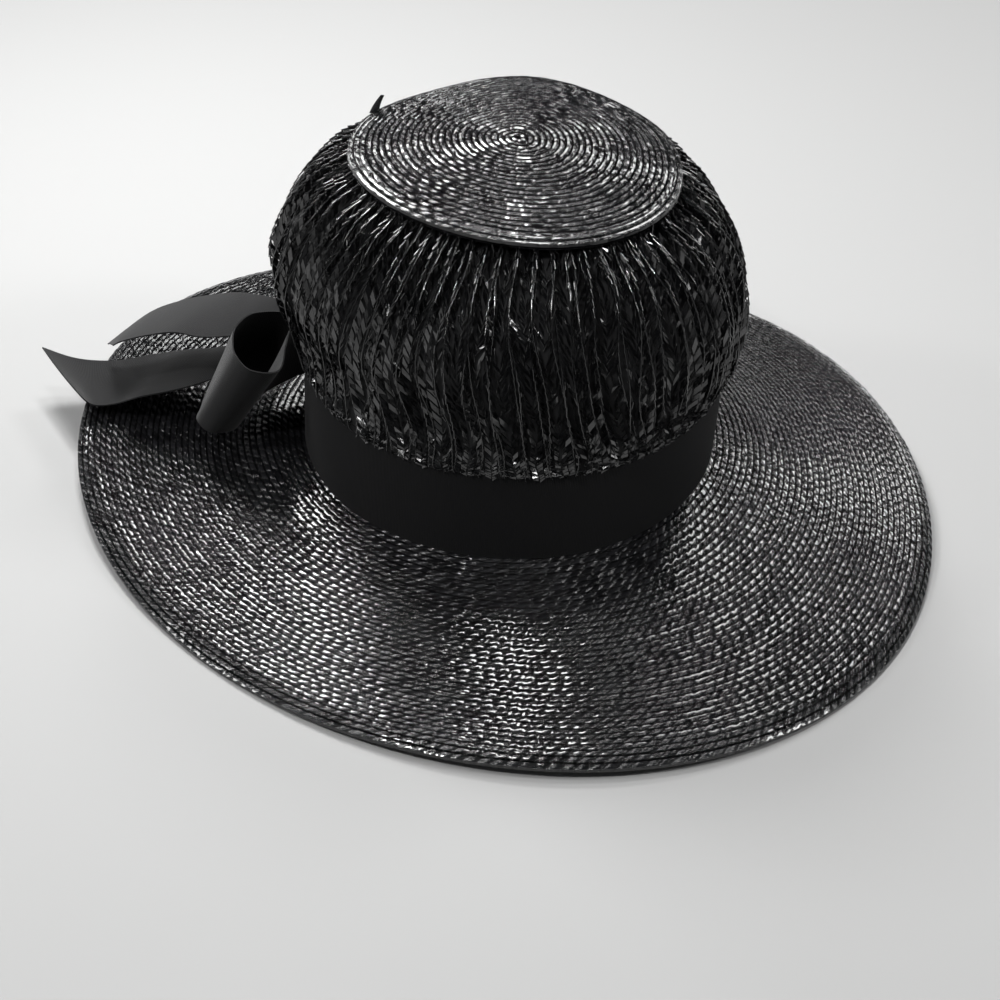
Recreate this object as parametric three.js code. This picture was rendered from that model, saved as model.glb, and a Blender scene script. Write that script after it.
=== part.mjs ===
// A wide-brim dress hat of lacquered black straw braid: a spiral-sewn crown tip, a bubble crown side
// of gathered plaited straw, a drooping brim, and a flat ribbon band with a one-loop bow.
// Millimetres, +Z up. The hat rests on the edge of its brim, and the bow is on the -X side.
import * as THREE from "three";

// ---- Driving dimensions -------------------------------------------------------------------------
const DEGREE = Math.PI / 180;
const STRAW = 1.6; // wall of sewn braid
const RIBBON = 1.0; // wall of the band and of the bow
const GAP = 0.3; // running gap between touching pieces

const HEAD_RADIUS = 91.3; // mean outer radius of the brim's collar, inside the band
const HEAD_OVAL = 0.041; // a head is longer front to back than side to side
const HEAD_TURN = 76 * DEGREE; // direction of the head's long axis

const BAND_FOOT = 24.3; // height of the brim where it meets the band
const BAND_LOW = BAND_FOOT + 2 * GAP;
const BAND_WIDTH = 43; // width of the ribbon
const BAND_TOP = BAND_LOW + BAND_WIDTH; // its top edge is hidden under the crown's hem
const COLLAR_TOP = 70.5; // height of the brim's collar
const COLLAR_GRIP = 2.6; // how far above the band the crown takes hold of the collar

const HEM_HEIGHT = 65; // lower edge of the puffed crown, which overhangs the band
const TIP_RIM_HEIGHT = 156.1; // upper face of the tip at its rim
const TIP_RADIUS = 67.4;
const TIP_CENTRE = { x: -4.2, y: -0.3 };
const TIP_DOME = 9; // rise of the tip from its rim to its middle
const TIP_APEX = { x: -1.2, y: -3.4 }; // from the rim's centre to the start of the braid
const TIP_TILT = 2.1; // how much the tip's rim rises towards the back
const TIP_SHOULDERS = 3.2; // how much its rim sinks again on either side of the back

const CROWN_LEAN = { x: -5.4, y: 1.4 }; // how far the puffed crown leans over the band
const LEAN_FROM = 64; // height at which the lean starts
const LEAN_TO = 104; // height at which the lean is complete

const BRIM_CENTRE = { x: -0.3, y: -2.5 };
const BRIM_RADIUS = 186.8;
// The brim's outline and its edge's height as waves round the hat: how many, how far, and the
// direction of a crest. The three-crested wave leaves three low points, on which the hat rests.
const OUTLINE_WAVES = [
  { count: 2, reach: 7.2, crest: -39.6 * DEGREE },
  { count: 3, reach: 1.8, crest: 46.6 * DEGREE },
];
const EDGE_WAVES = [
  { count: 1, reach: 2.6, crest: 119.5 * DEGREE },
  { count: 2, reach: 2.9, crest: -3.3 * DEGREE },
  { count: 3, reach: 4.0, crest: 35.4 * DEGREE },
];
const REST_HEIGHT = -4.2; // the brim's edge is pressed flat below this height
const REST_LAND = 2.0; // width of the flat under the brim's edge
const LIP_WIDTH = 8; // outermost rows of braid, turned down
const LIP_DROP = 2.5;
const BRIM_SAG = 1.12; // above 1 the brim is steeper by the band than at its edge
// The brim swells beside the bow, where the ribbon's tails lie.
const SWELL = { height: 5, at: 196 * DEGREE, spread: 24 * DEGREE, out: 17, width: 11 };

// The crown side, from its hem to the tip: height, mean radius, and how much of the head's oval,
// of the puffed crown's own oval and of the tip's outline each section has.
const CROWN_SECTIONS = [
  { z: 65.0, radius: 94.4, head: 1.0, puff: 0.0, tip: 0.0 },
  { z: 69.0, radius: 94.9, head: 0.9, puff: 0.1, tip: 0.0 },
  { z: 76.0, radius: 96.0, head: 0.5, puff: 0.5, tip: 0.0 },
  { z: 88.0, radius: 98.2, head: 0.0, puff: 1.0, tip: 0.0 },
  { z: 104.0, radius: 99.9, head: 0.0, puff: 1.0, tip: 0.0 },
  { z: 120.0, radius: 95.4, head: 0.0, puff: 1.0, tip: 0.0 },
  { z: 134.0, radius: 88.4, head: 0.0, puff: 0.6, tip: 0.4 },
  { z: 146.0, radius: 78.6, head: 0.0, puff: 0.2, tip: 0.8 },
  { z: 154.5, radius: 65.6, head: 0.0, puff: 0.0, tip: 1.0 },
];
const PUFF_OVAL = { reach: 0.034, long: 134 * DEGREE };
const TIP_OVAL = { reach: 0.011, long: 141 * DEGREE };
const TIP_THREE = { reach: 0.027, crest: 67 * DEGREE };
// Deep folds of the gathered side, as waves round the hat.
const FOLD_WAVES = [
  { count: 24, reach: 0.9, crest: 2 * DEGREE },
  { count: 17, reach: 0.6, crest: 9 * DEGREE },
];

// The bow's ribbons, a row for each fold: the ribbon's far edge and its near edge, from the knot
// outwards. Far is towards +Y, near towards -Y; on the loop they are its upper and lower edge.
const LOOP_ROWS = [
  { farX: -91.0, farY: 15.6, farZ: 57.0, nearX: -91.2, nearY: 15.6, nearZ: 35.0 },
  { farX: -98.5, farY: 8.5, farZ: 68.0, nearX: -106.5, nearY: 12.0, nearZ: 33.0 },
  { farX: -111.2, farY: -5.1, farZ: 75.5, nearX: -124.3, nearY: 1.7, nearZ: 34.0 },
  { farX: -117.3, farY: -16.0, farZ: 75.4, nearX: -131.6, nearY: -8.4, nearZ: 34.5 },
  { farX: -117.4, farY: -26.6, farZ: 74.4, nearX: -132.8, nearY: -19.0, nearZ: 33.9 },
  { farX: -114.8, farY: -35.4, farZ: 73.4, nearX: -132.9, nearY: -27.9, nearZ: 34.0 },
  { farX: -107.8, farY: -40.9, farZ: 70.3, nearX: -126.4, nearY: -32.4, nearZ: 31.4 },
  { farX: -97.2, farY: -34.8, farZ: 67.1, nearX: -117.1, nearY: -24.9, nearZ: 29.2 },
  { farX: -96.1, farY: -19.4, farZ: 69.8, nearX: -114.1, nearY: -10.0, nearZ: 30.7 },
  { farX: -95.6, farY: -3.4, farZ: 68.0, nearX: -104.5, nearY: 3.5, nearZ: 32.5 },
  { farX: -88.7, farY: 15.4, farZ: 56.5, nearX: -88.7, nearY: 15.4, nearZ: 35.5 },
];
const UPPER_TAIL_ROWS = [
  { farX: -92.5, farY: 29.5, farZ: 56.0, nearX: -93.2, nearY: 17.8, nearZ: 52.0 },
  { farX: -103.0, farY: 30.0, farZ: 60.0, nearX: -104.0, nearY: 9.8, nearZ: 57.0 },
  { farX: -111.0, farY: 31.0, farZ: 61.3, nearX: -113.5, nearY: 1.8, nearZ: 60.3 },
  { farX: -118.0, farY: 33.4, farZ: 60.4, nearX: -124.5, nearY: -4.0, nearZ: 61.6 },
  { farX: -125.0, farY: 36.3, farZ: 58.9, nearX: -134.5, nearY: -6.0, nearZ: 61.8 },
  { farX: -137.2, farY: 39.9, farZ: 54.3, nearX: -146.6, nearY: -2.6, nearZ: 60.9 },
  { farX: -152.3, farY: 43.1, farZ: 47.7, nearX: -159.8, nearY: 0.6, nearZ: 56.0 },
  { farX: -166.7, farY: 45.1, farZ: 38.8, nearX: -170.5, nearY: 3.0, nearZ: 50.6 },
  { farX: -185.2, farY: 42.2, farZ: 22.7, nearX: -174.5, nearY: 5.0, nearZ: 47.0 },
];
const LOWER_TAIL_ROWS = [
  { farX: -92.4, farY: 29.5, farZ: 42.0, nearX: -93.1, nearY: 17.8, nearZ: 38.0 },
  { farX: -103.0, farY: 30.0, farZ: 42.0, nearX: -103.5, nearY: 15.8, nearZ: 37.0 },
  { farX: -113.0, farY: 30.5, farZ: 40.5, nearX: -113.5, nearY: 12.2, nearZ: 36.5 },
  { farX: -123.3, farY: 31.5, farZ: 35.5, nearX: -124.8, nearY: 5.2, nearZ: 36.0 },
  { farX: -135.8, farY: 33.0, farZ: 30.8, nearX: -143.0, nearY: -6.5, nearZ: 35.0 },
  { farX: -147.7, farY: 36.7, farZ: 26.5, nearX: -161.8, nearY: -4.9, nearZ: 27.8 },
  { farX: -165.0, farY: 44.1, farZ: 17.6, nearX: -174.0, nearY: 1.0, nearZ: 19.0 },
  { farX: -182.8, farY: 43.7, farZ: 12.9, nearX: -181.5, nearY: 0.6, nearZ: 17.6 },
  { farX: -200.0, farY: 41.7, farZ: 14.0, nearX: -185.5, nearY: 0.4, nearZ: 18.6 },
  { farX: -214.8, farY: 39.9, farZ: 19.9, nearX: -188.5, nearY: 0.3, nearZ: 21.5 },
];
// The knot: a short length of ribbon folded flat round the bow's gathered ends, on the band.
const KNOT = { at: 165.5 * DEGREE, halfWide: 4.2 * DEGREE, low: 32, high: 60, thick: 6.3, edge: 4 };

const ROUND_STEPS = 68; // facets round the brim, the tip and the band
const FOLD_STEPS = 96; // facets round the folded crown side
const RIBBON_STEPS = 24;
const LOOP_STEPS = 40;

// ---- Shared outlines ----------------------------------------------------------------------------
const waves = (list, angle) =>
  list.reduce((sum, w) => sum + w.reach * Math.cos(w.count * (angle - w.crest)), 0);
const smooth = (t) => t * t * (3 - 2 * t);
const between = (low, high, value) => Math.min(1, Math.max(0, (value - low) / (high - low)));

const headShape = (angle) => 1 + HEAD_OVAL * Math.cos(2 * (angle - HEAD_TURN));
const puffShape = (angle) => 1 + PUFF_OVAL.reach * Math.cos(2 * (angle - PUFF_OVAL.long));
const tipShape = (angle) =>
  1 +
  TIP_OVAL.reach * Math.cos(2 * (angle - TIP_OVAL.long)) +
  TIP_THREE.reach * Math.cos(3 * (angle - TIP_THREE.crest));
const rimRise = (angle) =>
  TIP_TILT * Math.sin(angle) -
  TIP_SHOULDERS * Math.sin(2 * angle) ** 2 * Math.max(0, Math.sin(angle));

function ringPoint(angle, radius, z, centre = { x: 0, y: 0 }) {
  return new THREE.Vector3(
    centre.x + radius * Math.cos(angle),
    centre.y + radius * Math.sin(angle),
    z,
  );
}

function leanAt(z) {
  const share = smooth(between(LEAN_FROM, LEAN_TO, z));
  return { x: CROWN_LEAN.x * share, y: CROWN_LEAN.y * share };
}

// ---- Solid builder ------------------------------------------------------------------------------
// A closed wall between two surfaces over the same grid. Each surface is a function of u and v from
// 0 to 1; with wrap, u goes all the way round. A row that shrinks to one point makes a pole.
function wallGeometry(faceAt, backAt, uSteps, vSteps, wrap) {
  const positions = [];
  const columns = wrap ? uSteps : uSteps + 1;
  const grids = [faceAt, backAt].map((surface) =>
    Array.from({ length: columns }, (_, i) =>
      Array.from({ length: vSteps + 1 }, (_, j) => surface(i / uSteps, j / vSteps)),
    ),
  );
  const triangle = (a, b, c) => {
    if (a.distanceTo(b) < 1e-3 || b.distanceTo(c) < 1e-3 || c.distanceTo(a) < 1e-3) return;
    positions.push(...a.toArray(), ...b.toArray(), ...c.toArray());
  };
  const quad = (a, b, c, d) => {
    triangle(a, b, c);
    triangle(a, c, d);
  };
  const [face, back] = grids;
  for (let i = 0; i < uSteps; i++) {
    const n = (i + 1) % columns;
    for (let j = 0; j < vSteps; j++) {
      quad(face[i][j], face[n][j], face[n][j + 1], face[i][j + 1]);
      quad(back[i][j], back[i][j + 1], back[n][j + 1], back[n][j]);
    }
    quad(face[i][0], back[i][0], back[n][0], face[n][0]);
    quad(face[i][vSteps], face[n][vSteps], back[n][vSteps], back[i][vSteps]);
  }
  if (!wrap) {
    for (let j = 0; j < vSteps; j++) {
      quad(face[0][j], face[0][j + 1], back[0][j + 1], back[0][j]);
      quad(face[uSteps][j], back[uSteps][j], back[uSteps][j + 1], face[uSteps][j + 1]);
    }
  }
  if (signedVolume(positions) < 0) turnInsideOut(positions);
  const geometry = new THREE.BufferGeometry();
  geometry.setAttribute("position", new THREE.Float32BufferAttribute(positions, 3));
  geometry.computeVertexNormals();
  return geometry;
}

// Positions hold three corners of three numbers for each triangle.
function signedVolume(positions) {
  const [a, b, c] = [new THREE.Vector3(), new THREE.Vector3(), new THREE.Vector3()];
  let volume = 0;
  for (let i = 0; i < positions.length; i += 9) {
    a.fromArray(positions, i);
    b.fromArray(positions, i + 3);
    c.fromArray(positions, i + 6);
    volume += a.dot(b.cross(c)) / 6;
  }
  return volume;
}

function turnInsideOut(positions) {
  for (let i = 0; i < positions.length; i += 9)
    for (let k = 0; k < 3; k++) {
      const kept = positions[i + 3 + k];
      positions[i + 3 + k] = positions[i + 6 + k];
      positions[i + 6 + k] = kept;
    }
}

// ---- Brim ---------------------------------------------------------------------------------------
// Upper face of the brim: share 0 is at the band, share 1 at the edge.
function brimPoint(angle, share) {
  const inner = HEAD_RADIUS * headShape(angle);
  const outer = BRIM_RADIUS + waves(OUTLINE_WAVES, angle);
  const radius = inner + (outer - inner) * share;
  const lip = between(outer - LIP_WIDTH, outer, radius);
  const swell =
    SWELL.height *
    Math.exp(-(((angle - SWELL.at) / SWELL.spread) ** 2)) *
    Math.exp(-(((radius - inner - SWELL.out) / SWELL.width) ** 2));
  const z =
    (BAND_FOOT - STRAW) * Math.pow(1 - share, BRIM_SAG) +
    waves(EDGE_WAVES, angle) * Math.pow(share, 1.5) +
    LIP_DROP * (share * share - lip * lip) +
    STRAW +
    swell;
  return ringPoint(angle, radius, z, {
    x: BRIM_CENTRE.x * share,
    y: BRIM_CENTRE.y * share,
  });
}

// Rows of the brim's wall: the collar from its top down, then the brim out to its edge.
const BRIM_SHARES = [0.03, 0.1, 0.18, 0.3, 0.48, 0.68, 0.84, 0.915, 0.975, 1];
const COLLAR_ROWS = [COLLAR_TOP, BAND_FOOT];

function brimFace(u, v) {
  const angle = u * 2 * Math.PI;
  const row = Math.round(v * (COLLAR_ROWS.length + BRIM_SHARES.length - 1));
  if (row < COLLAR_ROWS.length)
    return ringPoint(angle, HEAD_RADIUS * headShape(angle), COLLAR_ROWS[row]);
  return brimPoint(angle, BRIM_SHARES[row - COLLAR_ROWS.length]);
}

function brimBack(u, v) {
  const angle = u * 2 * Math.PI;
  const row = Math.round(v * (COLLAR_ROWS.length + BRIM_SHARES.length - 1));
  const last = COLLAR_ROWS.length + BRIM_SHARES.length - 1;
  const inner = HEAD_RADIUS * headShape(angle) - STRAW;
  if (row < COLLAR_ROWS.length)
    return ringPoint(angle, inner, COLLAR_ROWS[row] - (row ? STRAW : 0));
  const point = brimFace(u, v);
  point.z -= STRAW;
  if (row >= last - 1) {
    // The last two rows of the underside share one height, which is pressed flat where it rests.
    const edge = brimPoint(angle, 1);
    const inwards = row === last ? 0 : REST_LAND;
    const radius = Math.hypot(edge.x - BRIM_CENTRE.x, edge.y - BRIM_CENTRE.y) - inwards;
    return ringPoint(angle, radius, Math.max(edge.z - STRAW, REST_HEIGHT), BRIM_CENTRE);
  }
  return point;
}

function makeBrim() {
  const rows = COLLAR_ROWS.length + BRIM_SHARES.length - 1;
  return wallGeometry(brimFace, brimBack, ROUND_STEPS, rows, true);
}

// ---- Crown --------------------------------------------------------------------------------------
const TOP_SECTION = CROWN_SECTIONS.length - 1;

function sectionPoint(angle, section, inwards, fold) {
  const shape =
    section.head * headShape(angle) +
    section.puff * puffShape(angle) +
    section.tip * tipShape(angle);
  const tilt = rimRise(angle) * section.tip;
  const lean = leanAt(section.z);
  return ringPoint(angle, section.radius * shape - inwards + fold, section.z + tilt, {
    x: lean.x + (TIP_CENTRE.x - lean.x) * section.tip,
    y: lean.y + (TIP_CENTRE.y - lean.y) * section.tip,
  });
}

// The folds fade out at the hem and at the tip.
function foldAt(angle, z) {
  const share = between(HEM_HEIGHT, TIP_RIM_HEIGHT, z);
  return waves(FOLD_WAVES, angle) * Math.sin(Math.PI * share);
}

function sideFace(u, v) {
  const angle = u * 2 * Math.PI;
  const section = CROWN_SECTIONS[Math.round(v * TOP_SECTION)];
  return sectionPoint(angle, section, 0, foldAt(angle, section.z));
}

function sideBack(u, v) {
  const angle = u * 2 * Math.PI;
  const row = Math.round(v * TOP_SECTION);
  const section = CROWN_SECTIONS[row];
  // Above the band's top edge the wall turns in and takes hold of the collar.
  const collar = HEAD_RADIUS * headShape(angle);
  if (row === 0) return ringPoint(angle, collar + RIBBON + 2 * GAP, section.z);
  if (row === 1) return ringPoint(angle, collar + RIBBON + 2 * GAP, BAND_TOP + GAP);
  if (row === 2) return ringPoint(angle, collar + 1.5 * GAP, BAND_TOP + COLLAR_GRIP);
  const steep = row === TOP_SECTION ? 0.4 : 1;
  const point = sectionPoint(angle, section, STRAW * steep, foldAt(angle, section.z));
  if (row >= TOP_SECTION - 1) point.z -= STRAW;
  return point;
}

function makeCrownSide() {
  return wallGeometry(sideFace, sideBack, FOLD_STEPS, TOP_SECTION, true);
}

const TIP_SHARES = [0, 0.22, 0.45, 0.68, 0.88, 1];

function tipPoint(angle, share, lower) {
  const z =
    TIP_RIM_HEIGHT +
    TIP_DOME * (1 - share * share) +
    rimRise(angle) * share -
    (lower ? STRAW : 0);
  return ringPoint(angle, TIP_RADIUS * tipShape(angle) * share, z, {
    x: TIP_CENTRE.x + TIP_APEX.x * (1 - share),
    y: TIP_CENTRE.y + TIP_APEX.y * (1 - share),
  });
}

function makeCrownTip() {
  const surface = (lower) => (u, v) =>
    tipPoint(u * 2 * Math.PI, TIP_SHARES[Math.round(v * (TIP_SHARES.length - 1))], lower);
  return wallGeometry(surface(false), surface(true), ROUND_STEPS, TIP_SHARES.length - 1, true);
}

// ---- Ribbon -------------------------------------------------------------------------------------
function makeBand() {
  const surface = (radius) => (u, v) => {
    const angle = u * 2 * Math.PI;
    return ringPoint(angle, HEAD_RADIUS * headShape(angle) + radius, BAND_LOW + v * BAND_WIDTH);
  };
  return wallGeometry(surface(GAP + RIBBON), surface(GAP), ROUND_STEPS, 1, true);
}

function ribbonGeometry(rows, steps) {
  const far = new THREE.CatmullRomCurve3(
    rows.map((r) => new THREE.Vector3(r.farX, r.farY, r.farZ)),
  );
  const near = new THREE.CatmullRomCurve3(
    rows.map((r) => new THREE.Vector3(r.nearX, r.nearY, r.nearZ)),
  );
  const middleAt = (u) => far.getPoint(u).add(near.getPoint(u)).multiplyScalar(0.5);
  const side = (offset) => (u, v) => {
    const across = near.getPoint(u).sub(far.getPoint(u));
    const along = middleAt(Math.min(1, u + 0.01)).sub(middleAt(Math.max(0, u - 0.01)));
    const normal = along.cross(across).normalize();
    return far.getPoint(u).addScaledVector(across, v).addScaledVector(normal, offset);
  };
  return wallGeometry(side(-RIBBON / 2), side(RIBBON / 2), steps, 2, false);
}

function makeKnot() {
  const surface = (outwards) => (u, v) => {
    const angle = KNOT.at + (2 * u - 1) * KNOT.halfWide;
    const rise = Math.sin(Math.PI * u) * Math.sin(Math.PI * v);
    const thick = KNOT.edge + (KNOT.thick - KNOT.edge) * Math.sqrt(Math.max(0, rise));
    const radius = HEAD_RADIUS * headShape(angle) + 2 * GAP + RIBBON + outwards * thick;
    return ringPoint(angle, radius, KNOT.low + v * (KNOT.high - KNOT.low));
  };
  return wallGeometry(surface(1), surface(0), 6, 6, false);
}

// ---- Assembly -----------------------------------------------------------------------------------
const glossyStraw = { color: 0x121213, roughness: 0.3, metalness: 0 };
const plaitedStraw = { color: 0x0f0f10, roughness: 0.25, metalness: 0 };
const mattRibbon = { color: 0x17171a, roughness: 0.95, metalness: 0 };

const hat = new THREE.Group();
function addPiece(name, geometry, finish) {
  const mesh = new THREE.Mesh(geometry, new THREE.MeshStandardMaterial(finish));
  mesh.name = name;
  hat.add(mesh);
}
addPiece("brim", makeBrim(), glossyStraw);
addPiece("crown_side", makeCrownSide(), plaitedStraw);
addPiece("crown_tip", makeCrownTip(), glossyStraw);
addPiece("hat_band", makeBand(), mattRibbon);
addPiece("bow_loop", ribbonGeometry(LOOP_ROWS, LOOP_STEPS), mattRibbon);
addPiece("bow_tail_upper", ribbonGeometry(UPPER_TAIL_ROWS, RIBBON_STEPS), mattRibbon);
addPiece("bow_tail_lower", ribbonGeometry(LOWER_TAIL_ROWS, RIBBON_STEPS), mattRibbon);
addPiece("bow_knot", makeKnot(), mattRibbon);

// The origin is the middle of the hat's box at the height on which its brim rests.
const box = new THREE.Box3().setFromObject(hat);
const middle = box.getCenter(new THREE.Vector3());
hat.position.set(-middle.x, -middle.y, -box.min.z);

const group = new THREE.Group();
group.add(hat);
export default group;
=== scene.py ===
"""Looks of the wide-brim straw hat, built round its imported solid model.

The brim and the tip of the crown are sewn from rows of rope-like straw braid. The side of the crown
is gathered from plaited strips. The band and the bow are ribbed ribbon. Metres, +Z up.
"""

import math

import bpy
import numpy as np
from mathutils import Matrix, Vector


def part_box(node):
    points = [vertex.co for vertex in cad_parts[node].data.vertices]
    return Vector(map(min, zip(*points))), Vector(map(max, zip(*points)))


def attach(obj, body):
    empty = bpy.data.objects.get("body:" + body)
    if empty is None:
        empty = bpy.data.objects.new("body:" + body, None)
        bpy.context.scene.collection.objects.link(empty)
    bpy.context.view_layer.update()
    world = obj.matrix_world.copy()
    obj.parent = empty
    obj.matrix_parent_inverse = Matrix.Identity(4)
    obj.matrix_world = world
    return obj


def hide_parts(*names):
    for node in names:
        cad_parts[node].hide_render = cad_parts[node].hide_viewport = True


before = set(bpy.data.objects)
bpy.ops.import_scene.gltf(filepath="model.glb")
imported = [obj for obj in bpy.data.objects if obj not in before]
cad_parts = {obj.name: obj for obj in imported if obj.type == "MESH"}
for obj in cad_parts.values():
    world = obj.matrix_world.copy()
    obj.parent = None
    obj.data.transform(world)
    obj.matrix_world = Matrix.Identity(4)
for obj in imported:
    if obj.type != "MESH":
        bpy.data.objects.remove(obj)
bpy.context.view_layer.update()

bl_info = {
    "name": "Straw Hat",
    "version": (1, 0, 0),
    "blender": (4, 5, 0),
    "location": "3D View > Sidebar > Straw Hat",
    "description": "Sews a wide-brim straw hat with a gathered crown, a ribbon band and a bow",
    "category": "Add Mesh",
}

MM = 0.001
TURN = 2 * math.pi
DEGREE = math.pi / 180

# ---- The hat's outlines, as its solid model has them ----
BAND_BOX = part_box("hat_band")
AXIS_X = (BAND_BOX[0].x + BAND_BOX[1].x) / 2
AXIS_Y = (BAND_BOX[0].y + BAND_BOX[1].y) / 2
BAND_GAP = 0.6 * MM  # between the brim and the foot of the band
BRIM_TOP = BAND_BOX[0].z - BAND_GAP  # height of the brim where the band stands on it
BRIM_RISE = 24.3 * MM  # from the foot of the brim up to the band
FOOT = BRIM_TOP - BRIM_RISE  # height from which the outlines below are counted

HEAD_RADIUS = 91.3 * MM
STRAW = 1.6 * MM  # thickness of the sewn braid

BRIM_CENTRE = (-0.3 * MM, -2.5 * MM)
BRIM_RADIUS = 186.8 * MM
# Waves round the hat: how many, how far, and the direction of a crest.
OUTLINE_WAVES = ((2, 7.2 * MM, -39.6 * DEGREE), (3, 1.8 * MM, 46.6 * DEGREE))
EDGE_WAVES = (
    (1, 2.6 * MM, 119.5 * DEGREE),
    (2, 2.9 * MM, -3.3 * DEGREE),
    (3, 4.0 * MM, 35.4 * DEGREE),
)
BRIM_SAG = 1.12
LIP_WIDTH = 8 * MM
LIP_DROP = 2.5 * MM
SWELL = {
    "height": 5 * MM,
    "at": 196 * DEGREE,
    "spread": 24 * DEGREE,
    "out": 17 * MM,
    "width": 11 * MM,
}

TIP_RIM_HEIGHT = 156.1 * MM
TIP_RADIUS = 67.4 * MM
TIP_CENTRE = (-4.2 * MM, -0.3 * MM)
TIP_DOME = 9 * MM
TIP_APEX = (-1.2 * MM, -3.4 * MM)  # from the rim's centre to the start of the braid
TIP_TILT = 2.1 * MM
TIP_SHOULDERS = 3.2 * MM
TIP_END = 156 * DEGREE  # direction in which the tip's braid ends
CROWN_LEAN = (-5.4 * MM, 1.4 * MM)
LEAN_HEIGHTS = (64 * MM, 104 * MM)
# How far the head's, the puffed crown's and the tip's outlines are from round: waves in shares of
# the radius.
HEAD_WAVES = ((2, 0.041, 76 * DEGREE),)
PUFF_WAVES = ((2, 0.034, 134 * DEGREE),)
TIP_WAVES = ((2, 0.011, 141 * DEGREE), (3, 0.027, 67 * DEGREE))
# The side of the crown from its hem up: height, radius, and shares of the head's oval, of the
# puffed crown's oval and of the tip's outline.
CROWN_SECTIONS = np.array(
    [
        (65.0, 94.4, 1.0, 0.0, 0.0),
        (69.0, 94.9, 0.9, 0.1, 0.0),
        (76.0, 96.0, 0.5, 0.5, 0.0),
        (88.0, 98.2, 0.0, 1.0, 0.0),
        (104.0, 99.9, 0.0, 1.0, 0.0),
        (120.0, 95.4, 0.0, 1.0, 0.0),
        (134.0, 88.4, 0.0, 0.6, 0.4),
        (146.0, 78.6, 0.0, 0.2, 0.8),
        (154.5, 65.6, 0.0, 0.0, 1.0),
    ]
)
FOLD_WAVES = ((24, 0.9 * MM, 2 * DEGREE), (17, 0.6 * MM, 9 * DEGREE))

# The crown's strips. Shares along a strip from the tip down, and how steeply its halves fold up
# there, in degrees. On the left, round OPEN_SIDE, they lie more open.
FOLD_PLACES = (0, 0.05, 0.12, 0.35, 0.6, 0.82, 1)
FOLD_ANGLES = (28, 48, 56, 50, 40, 15, 7)
OPEN_SIDE = 208 * DEGREE
OPEN_SPREAD = 32 * DEGREE
STRIP_LENGTH = 130 * MM
STRIP_OVERLAP = 1.14  # width of a strip over the distance from one to the next
LEAF_SLOPE = 1.35  # how far a leaf of the plait runs back for each metre across it
LEAF_CORNERS = 8

# The bow's ribbons in millimetres, a row for each fold from the knot outwards: the far edge's point
# and the near edge's point.
LOOP_ROWS = (
    (-91.0, 15.6, 57.0, -91.2, 15.6, 35.0),
    (-98.5, 8.5, 68.0, -106.5, 12.0, 33.0),
    (-111.2, -5.1, 75.5, -124.3, 1.7, 34.0),
    (-117.3, -16.0, 75.4, -131.6, -8.4, 34.5),
    (-117.4, -26.6, 74.4, -132.8, -19.0, 33.9),
    (-114.8, -35.4, 73.4, -132.9, -27.9, 34.0),
    (-107.8, -40.9, 70.3, -126.4, -32.4, 31.4),
    (-97.2, -34.8, 67.1, -117.1, -24.9, 29.2),
    (-96.1, -19.4, 69.8, -114.1, -10.0, 30.7),
    (-95.6, -3.4, 68.0, -104.5, 3.5, 32.5),
    (-88.7, 15.4, 56.5, -88.7, 15.4, 35.5),
)
UPPER_TAIL_ROWS = (
    (-92.5, 29.5, 56.0, -93.2, 17.8, 52.0),
    (-103.0, 30.0, 60.0, -104.0, 9.8, 57.0),
    (-111.0, 31.0, 61.3, -113.5, 1.8, 60.3),
    (-118.0, 33.4, 60.4, -124.5, -4.0, 61.6),
    (-125.0, 36.3, 58.9, -134.5, -6.0, 61.8),
    (-137.2, 39.9, 54.3, -146.6, -2.6, 60.9),
    (-152.3, 43.1, 47.7, -159.8, 0.6, 56.0),
    (-166.7, 45.1, 38.8, -170.5, 3.0, 50.6),
    (-185.2, 42.2, 22.7, -174.5, 5.0, 47.0),
)
LOWER_TAIL_ROWS = (
    (-92.4, 29.5, 42.0, -93.1, 17.8, 38.0),
    (-103.0, 30.0, 42.0, -103.5, 15.8, 37.0),
    (-113.0, 30.5, 40.5, -113.5, 12.2, 36.5),
    (-123.3, 31.5, 35.5, -124.8, 5.2, 36.0),
    (-135.8, 33.0, 30.8, -143.0, -6.5, 35.0),
    (-147.7, 36.7, 26.5, -161.8, -4.9, 27.8),
    (-165.0, 44.1, 17.6, -174.0, 1.0, 19.0),
    (-182.8, 43.7, 12.9, -181.5, 0.6, 17.6),
    (-200.0, 41.7, 14.0, -185.5, 0.4, 18.6),
    (-214.8, 39.9, 19.9, -188.5, 0.3, 21.5),
)

RIBBON_WIDTH = 43 * MM
RIBBON_EDGE = 40 * DEGREE  # a sharper edge than this stays sharp in the ribbon's shading

# ---- Camera and lights ----
CAMERA_DISTANCE = 0.9611
CAMERA_ELEVATION = 36.12 * DEGREE
CAMERA_ROLL = 4.158 * DEGREE
CAMERA_LENS = 77.72
CAMERA_SHIFT = (-0.0071, -0.0314)
LIT_POINT = (0, 0, 80 * MM)
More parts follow.
